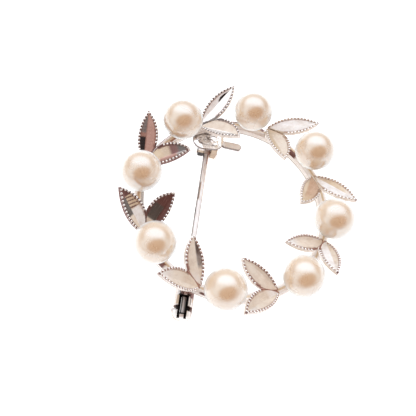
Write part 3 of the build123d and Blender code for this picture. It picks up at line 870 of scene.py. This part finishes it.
fine_section = []
sharp_section = rounded(section, RING_EDGE, closed=True)
for start, end in zip(sharp_section, sharp_section[1:] + sharp_section[:1]):
    steps = max(1, int((end - start).length / RING_ROW_WIDTH))
    fine_section += [start + (end - start) * step / steps for step in range(steps)]
ring_mesh = mesh_from("wire_ring", *lathe(fine_section, Matrix.Identity(4), RING_SEGMENTS, True))
frame_piece(tint(ring_mesh, ring_tone), [wrought])

# Leaf pairs
for index in range(len(spray_rows)):
    points, faces, marks, lays, tones = [], [], [], [], []
    beads, tips = [], []
    for leaf in leaf_rows:
        leaf_points, leaf_faces, *leaf_details, leaf_beads, tip = leaf_shape(index, leaf)
        points, faces = joined([(points, faces), (leaf_points, leaf_faces)])
        for details, more in zip((marks, lays, tones), leaf_details):
            details += more
        beads.append(leaf_beads)
        tips.append(tip)
    reach_angle = math.degrees(LEAF_FOOT_REACH / RING_RADIUS)
    foot = around(RING_RADIUS, spray_angle(index) - reach_angle, RING_HEIGHT - SOLDER_DEPTH)
    tall = spray_height(index) - foot.z
    foot_base = LEAF_FOOT_RADIUS * FOOT_SPREAD
    foot_profile = [(0, 0), (foot_base, 0), (LEAF_FOOT_RADIUS, tall), (0, tall)]
    foot_profile = rounded(foot_profile, SOFT_CORNER)
    foot_shape = lathe(foot_profile, Matrix.Translation(foot), FOOT_SEGMENTS)
    for mark, parts in ((2, beads + tips[1:] + [foot_shape]), (3, tips[:1])):
        extra_points, extra_faces = joined(parts)
        points, faces = joined([(points, faces), (extra_points, extra_faces)])
        marks += [mark] * len(extra_faces)
        lays += [(0, 0, 0)] * len(extra_points)
        tones += [METAL_AND_PAINTED_LIGHT_TONES["bright"]] * len(extra_points)
    pair = mesh_from(f"leaf_pair_{index + 1}", points, faces, marks, lays, tones)
    frame_piece(pair, [leaf_silver, recess, silver, brown])

# Pearls and cups
for index, row in enumerate(pearl_rows):
    centre = pearl_centre(index)
    radius = PEARL_DIAMETER * row["size"] / 2
    drill_angle = math.asin(DRILL_RADIUS / radius)
    drill_end = -radius + DRILL_DEPTH
    profile = [(0, drill_end), (DRILL_RADIUS, drill_end)]
    for step in range(PEARL_STEPS + 1):
        angle = math.pi - drill_angle - (math.pi - drill_angle) * step / PEARL_STEPS
        waist = radius * (1 - PEARL_FLATNESS * math.sin(angle) ** 2)
        profile.append((waist * math.sin(angle), waist * math.cos(angle)))
    place = Matrix.Translation(centre)
    pearl = mesh_from(f"pearl_ball_{index + 1}", *lathe(profile, place, PEARL_SEGMENTS))
    add_piece(pearl, [nacre], "frame", f"pearl_{index + 1}")
    seat = radius + PEARL_SEAT_GAP
    foot = RING_HEIGHT - SOLDER_DEPTH - centre.z
    top = -math.sqrt(seat**2 - CUP_RIM_RADIUS**2)
    start = math.asin(PEG_RADIUS / seat)
    end = math.asin(CUP_RIM_RADIUS / seat)
    dish = [start + (end - start) * step / CUP_STEPS for step in range(CUP_STEPS + 1)]
    profile = [(0, foot), (CUP_FOOT_RADIUS, foot), (CUP_FOOT_RADIUS, RING_HEIGHT - centre.z)]
    profile = rounded(profile + [(CUP_RIM_RADIUS, top)], SOFT_CORNER)
    profile += [Vector((seat * math.sin(angle), -seat * math.cos(angle))) for angle in dish[::-1]]
    profile += [Vector((reach, drill_end - PEG_END_GAP)) for reach in (PEG_RADIUS, 0)]
    cup = mesh_from(f"pearl_cup_{index + 1}", *lathe(profile, place, CUP_SEGMENTS))
    frame_piece(tint(cup, "sand"), [wrought])


def across_pin(reach, turn=0.0):
    """Axes at a distance along the pin: Z along it, X to the right, or turned to the front."""
    turning = Matrix.Rotation(math.radians(turn), 3, pin_along)
    return placed_axes(pivot + pin_along * reach, turning @ pin_across, pin_along)


def beside_pin(offset):
    """Axes on the rivet's line: Z along the rivet, X along the pin and Y to the back."""
    return placed_axes(pivot + pin_across * offset, pin_along, pin_across)


def sheet_edge(outline, hole, thickness, axes, bevel=SHEET_BEVEL):
    """Points and faces of a flat piece with soft edges and a hole, from its outline's radii."""
    count = len(outline)
    layers = [
        (outline, -bevel, 0.0),
        (outline, -bevel * 0.3, bevel * 0.3),
        (outline, 0.0, bevel),
        (outline, 0.0, thickness - bevel),
        (outline, -bevel * 0.3, thickness - bevel * 0.3),
        (outline, -bevel, thickness),
        ([hole] * count, 0.0, thickness),
        ([hole] * count, 0.0, 0.0),
    ]
    points = []
    for radii, grow, height in layers:
        for step, radius in enumerate(radii):
            angle = 2 * math.pi * step / count
            reach = radius + grow
            points.append(axes @ Vector((reach * math.cos(angle), reach * math.sin(angle), height)))
    return points, grid_faces(len(layers), count, True, True)


def box_points(low, high, axes):
    """Points and faces of a block between two corners."""
    points = []
    for z in (low[2], high[2]):
        for y in (low[1], high[1]):
            points += [axes @ Vector((x, y, z)) for x in (low[0], high[0])]
    faces = [(0, 2, 3, 1), (4, 5, 7, 6), (0, 1, 5, 4), (2, 6, 7, 3), (0, 4, 6, 2), (1, 3, 7, 5)]
    return points, faces


def wedge_points(first, last, radius, low, high, axes, steps=24):
    """Points and faces of a sector about the axes' Z, between two angles and two heights."""
    rim = []
    for step in range(steps + 1):
        angle = math.radians(first + (last - first) * step / steps)
        rim.append((radius * math.cos(angle), radius * math.sin(angle)))
    base = [(0.0, 0.0)] + rim
    points = [axes @ Vector((x, y, height)) for height in (low, high) for x, y in base]
    count = len(base)
    faces = [tuple(range(count))[::-1], tuple(range(count, 2 * count))]
    for step in range(count):
        after = (step + 1) % count
        faces.append((step, after, count + after, count + step))
    return points, faces


def carved(name, solid, cutters, bevel=CARVED_BEVEL, materials=(), marks=None):
    """Mesh of a solid with others cut out of it, each in its own material, and softened edges."""
    objects = []
    for part, (points, faces, *mark) in enumerate([solid] + cutters):
        part_marks = mark * len(faces) if part else marks
        part_mesh = mesh_from(f"{name}_{part}", points, faces, part_marks)
        for material in materials:
            part_mesh.materials.append(material)
        objects.append(add_object(f"{name}_{part}", part_mesh))
    body = objects[0]
    for cutter in objects[1:]:
        cutting = body.modifiers.new("cut", "BOOLEAN")
        cutting.operation = "DIFFERENCE"
        cutting.solver = "EXACT"
        cutting.object = cutter
    softening = body.modifiers.new("soften", "BEVEL")
    softening.width = bevel
    softening.segments = 2
    softening.limit_method = "ANGLE"
    softening.angle_limit = math.radians(CARVED_ANGLE)
    bpy.context.view_layer.update()
    graph = bpy.context.evaluated_depsgraph_get()
    mesh = bpy.data.meshes.new_from_object(body.evaluated_get(graph))
    mesh.name = name
    for shape in objects:
        bpy.data.objects.remove(shape)
    return mesh


# Hinge: the oval plate with a low dome, the plain tag beside it and the two ears
def slot_outline(length, width, radius):
    """Points round a rounded rectangle."""
    outline = []
    count = OUTLINE_POINTS // 4
    for corner, (sx, sy) in enumerate(((1, 1), (-1, 1), (-1, -1), (1, -1))):
        for step in range(count):
            angle = math.pi / 2 * (corner + step / (count - 1))
            x = sx * (length / 2 - radius) + radius * math.cos(angle)
            y = sy * (width / 2 - radius) + radius * math.sin(angle)
            outline.append((x, y))
    return outline


def domed_plate(outline, thickness, dome, axes, edge=PLATE_EDGE, ripple=0.0):
    """Points and faces of a plate with a flat back and a low dome in front, rippled by solder."""
    layers = [(0.0, -thickness), (1.0 - edge, -thickness), (1.0, -thickness + edge), (1.0, -edge)]
    for share in PLATE_ROWS:
        beyond = max(share - PLATE_FALL_START, 0.0)
        fall = 4 * edge * beyond**2
        layers.append((share, dome * (1 - share**2) - fall))
    count = len(outline)
    points = []
    for share, z in layers:
        for x, y in outline:
            place = Vector((x * share, y * share, 0))
            on_dome = z > -0.9 * edge
            flow = ripple * fractal(place * RIPPLE_SCALE, *RIPPLE_DETAIL) if on_dome else 0.0
            points.append(axes @ Vector((place.x, place.y, z + flow * (1 - share**6))))
    return points, grid_faces(len(layers), count, False, True)


X_AXIS, Z_AXIS = Vector((1, 0, 0)), Vector((0, 0, 1))
plate_place = pivot + Vector((-PLATE_ASIDE, PLATE_SHIFT, 0))
plate_axes = placed_axes(Vector((plate_place.x, plate_place.y, 0)), X_AXIS, Z_AXIS)
tag_place = Vector((pivot.x + (PLATE_LENGTH + TAG_LENGTH - TAG_WIDTH) / 2, pivot.y, 0))
tag_axes = placed_axes(tag_place, pin_across, Z_AXIS)
plate_outline = slot_outline(PLATE_LENGTH, PLATE_WIDTH, PLATE_WIDTH * PLATE_ROUND)
plate = domed_plate(plate_outline, PLATE_THICKNESS, PLATE_DOME, plate_axes, ripple=PLATE_RIPPLE)
tag_outline = slot_outline(TAG_LENGTH, TAG_WIDTH, TAG_WIDTH / 2)
tag = domed_plate(tag_outline, PLATE_THICKNESS, TAG_DOME, tag_axes, TAG_EDGE)


def plate_tone(place):
    """Dark rim and thin dark curves on the plate."""
    place = plate_axes.inverted() @ place
    if place.z < -DARK_PLATE_EDGE:
        return "grey"
    for x, y, radius, first, last, width in PLATE_CURVES:
        angle = math.degrees(math.atan2(place.y - y, place.x - x)) % 360
        if first < angle < last and abs(math.hypot(place.x - x, place.y - y) - radius) < width:
            return "grey"
    return "mirror"


def tag_tone(place):
    """Grey edge all round the tag."""
    place = tag_axes.inverted() @ place
    near_end = math.hypot(max(abs(place.x) - (TAG_LENGTH - TAG_WIDTH) / 2, 0), place.y)
    at_rim = place.z < -DARK_TAG_EDGE or near_end > TAG_WIDTH / 2 - DARK_TAG_RIM
    return "grey" if at_rim else "bright"


frame_piece(tint(mesh_from("hinge_plate", *plate), plate_tone), [wrought])
frame_piece(tint(mesh_from("hinge_tag", *tag), tag_tone), [wrought])

ear_drop = PIN_DEPTH - PLATE_THICKNESS + EAR_OVERLAP
ear_outline = []
for step in range(EAR_STEPS):
    angle = 2 * math.pi * step / EAR_STEPS
    # The back of an ear is round, and its front runs straight up to the plate
    up = -math.sin(angle)
    sides = EAR_RADIUS / max(abs(math.cos(angle)), 1e-6)
    ear_outline.append(min(sides, ear_drop / up) if up > 0 else EAR_RADIUS)
left_ear = -EAR_GAP / 2 - EAR_THICKNESS
# Painted shade on the ears' sides: black on most of the left ear, tan on the right one
RIGHT_EAR_PAINTED_SHADE = [(0, 180, -1, 2, "tan"), (270, 360, -1, 2, "tan")]
LEFT_EAR_PAINTED_SHADE = [(0, 180, -1, 2, "black"), (312, 360, -1, 2, "black"), (300, 312, -1, 2, "tan")]
ears = [
    ("hinge_ear_right", EAR_GAP / 2, RIGHT_EAR_PAINTED_SHADE),
    ("hinge_ear_left", left_ear, LEFT_EAR_PAINTED_SHADE),
]
for name, offset, stripes in ears:
    axes = beside_pin(offset)
    ear = sheet_edge(ear_outline, RIVET_RADIUS + RIVET_CLEARANCE, EAR_THICKNESS, axes)
    frame_piece(tint(mesh_from(name, *ear), striped(axes, stripes)), [wrought])

ear_edge = EAR_GAP / 2 + EAR_THICKNESS + RIVET_CLEARANCE
head_tip = ear_edge + RIVET_HEAD_HEIGHT
rivet_half = [(0, head_tip), (RIVET_HEAD_RADIUS, head_tip), (RIVET_HEAD_RADIUS, ear_edge)]
rivet_half.append((RIVET_RADIUS, ear_edge))
rivet_profile = [(radius, -place) for radius, place in rivet_half] + rivet_half[::-1]
rivet = lathe(rounded(rivet_profile, RIVET_BEVEL), beside_pin(0), RIVET_SEGMENTS)
add_piece(mesh_from("hinge_pin_rivet", *rivet), [silver], "frame", "hinge_rivet")

# Pin stem
knuckle_half = EAR_GAP / 2 - KNUCKLE_SIDE_GAP
knuckle = sheet_edge(
    [KNUCKLE_RADIUS] * KNUCKLE_STEPS,
    RIVET_RADIUS + KNUCKLE_BORE_GAP,
    2 * knuckle_half,
    beside_pin(-knuckle_half),
    KNUCKLE_BEVEL,
)
stem_root = (KNUCKLE_RADIUS + RIVET_RADIUS + KNUCKLE_BORE_GAP) / 2
stem_tip = CATCH_REACH + CATCH_LENGTH - CATCH_END_WALL - STEM_END_GAP
stem_profile = [
    (0, stem_root),
    (STEM_ROOT_RADIUS, stem_root),
    (STEM_RADIUS, STEM_FREE_START),
    (STEM_RADIUS, STEM_STRAIGHT),
    (TIP_NECK_RADIUS, CATCH_REACH),
    (TIP_NECK_RADIUS * TIP_NECK_TAPER, stem_tip - TIP_TAPER),
    (STEM_POINT_RADIUS, stem_tip),
    (0, stem_tip),
]
fine_profile = []
for start, end in zip(stem_profile, stem_profile[1:]):
    steps = max(1, int((end[1] - start[1]) / STEM_ROW_LENGTH))
    for step in range(steps):
        fine_profile.append(tuple(a + (b - a) * step / steps for a, b in zip(start, end)))
fine_profile.append(stem_profile[-1])
stem = lathe(fine_profile, across_pin(0), PIN_SEGMENTS)
pin = tint(mesh_from("pin_wire", *joined([knuckle, stem])), striped(across_pin(0), STEM_PAINTED_LIGHT))
add_piece(pin, [drawn], "pin", "pin_stem")

# Catch barrel, its saddle, and the roller that turns in it
wall_end = CATCH_LENGTH - CATCH_END_WALL
barrel_profile = [(0, wall_end), (CATCH_BORE_RADIUS, wall_end), (CATCH_BORE_RADIUS, 0)]
bore_rows = len(barrel_profile) - 1
for step in range(BARREL_ROWS + 1):
    barrel_profile.append((CATCH_RADIUS, (CATCH_LENGTH - CATCH_END_ROUND) * step / BARREL_ROWS))
for step in range(1, BARREL_END_STEPS + 1):
    angle = math.pi / 2 * step / BARREL_END_STEPS
    flat = CATCH_RADIUS - CATCH_END_ROUND
    height = CATCH_LENGTH - CATCH_END_ROUND + CATCH_END_ROUND * math.sin(angle)
    barrel_profile.append((flat + CATCH_END_ROUND * math.cos(angle), height))
barrel_profile.append((0, CATCH_LENGTH))
barrel_axes = across_pin(CATCH_REACH)
window_axes = across_pin(CATCH_REACH, WINDOW_ANGLE)
window_start = CATCH_SADDLE_LENGTH + WINDOW_START_GAP
far = 2 * CATCH_RADIUS
# Two bands cut on past the window into the rounded end; their faces take the black metal as painted
# shade
bands = []
for low, high in ((-BAND_OUTER, -BAND_INNER), (BAND_INNER, BAND_OUTER)):
    corners = (BAND_DEPTH, low, wall_end - BAND_OVERLAP), (far, high, CATCH_LENGTH - BAND_END_GAP)
    bands.append((*box_points(*corners, window_axes), 1))
# The groove is cut first and as two convex wedges, since the boolean fails on a single one
groove_first = TAB_ANGLE - ROLLER_TURN - TAB_SIDE_ANGLE
groove_last = TAB_ANGLE + TAB_SIDE_ANGLE
groove_middle = (groove_first + groove_last) / 2
groove_start, groove_end = GROOVE_REACH - GROOVE_WIDTH / 2, GROOVE_REACH + GROOVE_WIDTH / 2
# The groove's faces take the brown metal as painted shade
groove = []
for first, last in (
    (groove_first, groove_middle + GROOVE_OVERLAP),
    (groove_middle - GROOVE_OVERLAP, groove_last),
):
    groove.append((*wedge_points(first, last, far, groove_start, groove_end, barrel_axes), 2))
slot_corners = (-CATCH_SLOT_WIDTH / 2, -far, -1.0), (CATCH_SLOT_WIDTH / 2, 0, wall_end)
window_corners = (0, -WINDOW_WIDTH / 2, window_start), (far, WINDOW_WIDTH / 2, wall_end)
barrel_points, barrel_faces = lathe(barrel_profile, barrel_axes, BARREL_SEGMENTS)
face_rows = len(barrel_profile) - 1
# The bore takes the black metal as painted shade
barrel_marks = [1 if face % face_rows < bore_rows else 0 for face in range(len(barrel_faces))]
barrel = carved(
    "catch_barrel",
    (barrel_points, barrel_faces),
    [
        *groove,
        (*box_points(*slot_corners, barrel_axes), 0),
        (*box_points(*window_corners, window_axes), 1),
        *bands,
    ],
    materials=[wrought, black, brown],
    marks=barrel_marks,
)
frame_piece(tint(barrel, striped(barrel_axes, BARREL_PAINTED_LIGHT, "bright")), [])
saddle_half = CATCH_SADDLE_WIDTH / 2
saddle_corners = (-saddle_half, SADDLE_TOP, 0.0), (saddle_half, PIN_DEPTH, CATCH_SADDLE_LENGTH)
saddle = carved("catch_saddle", box_points(*saddle_corners, barrel_axes), [], SADDLE_BEVEL)
frame_piece(tint(saddle, "rose"), [wrought])

roller_start, roller_end = ROLLER_END_GAP, wall_end - ROLLER_END_GAP
roller_radius = CATCH_BORE_RADIUS - ROLLER_CLEARANCE
lining_radius = ROLLER_BORE_RADIUS - ROLLER_LINING
roller_profile = [
    (lining_radius, roller_start),
    (roller_radius, roller_start),
    (roller_radius, roller_end),
    (lining_radius, roller_end),
]
slit_corners = (-ROLLER_SLOT_WIDTH / 2, -far, -1.0), (ROLLER_SLOT_WIDTH / 2, 0, CATCH_LENGTH)
inner_window_corners = (
    (0, -ROLLER_WINDOW_WIDTH / 2, window_start),
    (far, ROLLER_WINDOW_WIDTH / 2, roller_end - ROLLER_WINDOW_END_GAP),
)
roller = carved(
    "roller_sleeve",
    lathe(roller_profile, barrel_axes, BARREL_SEGMENTS, True),
    [box_points(*slit_corners, barrel_axes), box_points(*inner_window_corners, window_axes)],
)
# The roller is all in the black metal, as painted shade seen through the window
add_piece(roller, [black], "roller", "catch_roller")
tab_corners = (
    (ROLLER_BORE_RADIUS + ROLLER_CLEARANCE, -TAB_WIDTH / 2, groove_start + TAB_END_GAP),
    (CATCH_RADIUS + TAB_PROUD, TAB_WIDTH / 2, groove_end - TAB_END_GAP),
)
tab_axes = across_pin(CATCH_REACH, TAB_ANGLE)
tab = carved("roller_tab", box_points(*tab_corners, tab_axes), [], TAB_BEVEL)
add_piece(tint(tab, "white"), [wrought], "roller", "catch_roller")

# Floor
floor_mesh = bpy.data.meshes.new("floor")
corners = ((-1, -1), (1, -1), (1, 1), (-1, 1))
floor_corners = [(x * FLOOR_HALF, y * FLOOR_HALF, 0) for x, y in corners]
floor_mesh.from_pydata(floor_corners, [], [(0, 1, 2, 3)])
floor_mesh.materials.append(paper)
floor = add_object("floor", floor_mesh)

# World: a soft white tent over a darker horizon, with the cards as soft ellipses on it
world = bpy.data.worlds.new("studio")
bpy.context.scene.world = world
world.use_nodes = True
sky = world.node_tree


def along_direction(direction):
    """Part of the looking direction that runs along another."""
    inputs = {0: looking, 1: direction}
    return add_node(sky, "ShaderNodeVectorMath", inputs, operation="DOT_PRODUCT").outputs["Value"]


looking = add_node(sky, "ShaderNodeTexCoord").outputs["Generated"]
height = add_node(sky, "ShaderNodeSeparateXYZ", {0: looking}).outputs["Z"]
light = mottled(sky, height, 0.05, 0.2, HORIZON, TENT)
for row in CARDS:
    card = dict(zip(CARD_COLUMNS, row))
    azimuth, elevation = math.radians(card["azimuth"]), math.radians(card["elevation"])
    ahead = Vector((math.sin(azimuth), math.cos(azimuth), 0))
    centre = ahead * math.cos(elevation) + Vector((0, 0, math.sin(elevation)))
    aside = ahead.cross(Vector((0, 0, 1)))
    wide = along_direction(aside / math.sin(math.radians(card["wide"])))
    tall = along_direction(aside.cross(centre) / math.sin(math.radians(card["tall"])))
    offset = add_node(sky, "ShaderNodeCombineXYZ", {0: wide, 1: tall}).outputs[0]
    distance = add_node(sky, "ShaderNodeVectorMath", {0: offset}, operation="LENGTH")
    soft = 1 - card["soft"], 1 + card["soft"]
    inside = remap(sky, distance.outputs["Value"], *soft, 1.0, 0.0)
    ahead_only = remap(sky, along_direction(centre), 0.0, 0.1)
    share = add_node(sky, "ShaderNodeMath", {0: inside, 1: ahead_only}, operation="MULTIPLY")
    light = blend_colours(sky, share.outputs[0], light, card["colour"])
sky.links.new(light, sky.nodes["Background"].inputs["Color"])
sky.nodes["Background"].inputs["Strength"].default_value = 1.0

# Camera
camera_data = bpy.data.cameras.new("camera")
camera_data.lens = LENS
camera_data.sensor_width = SENSOR_WIDTH
camera_data.clip_start, camera_data.clip_end = NEAREST, FARTHEST
camera = add_object("camera", camera_data)
azimuth, dip = math.radians(CAMERA_AZIMUTH), math.radians(CAMERA_DIP)
level_part = math.cos(dip)
view = Vector((math.sin(azimuth) * level_part, math.cos(azimuth) * level_part, -math.sin(dip)))
level = view.cross(Vector((0, 0, 1))).normalized()
camera_turn = Matrix((level, level.cross(view), -view)).transposed()
camera_turn = Matrix.Rotation(-math.radians(CAMERA_ROLL), 3, view) @ camera_turn
camera.matrix_world = Matrix.Translation(CAMERA_PLACE) @ camera_turn.to_4x4()
bpy.context.scene.camera = camera
bpy.context.scene.view_settings.view_transform = "Standard"

bpy.context.view_layer.update()
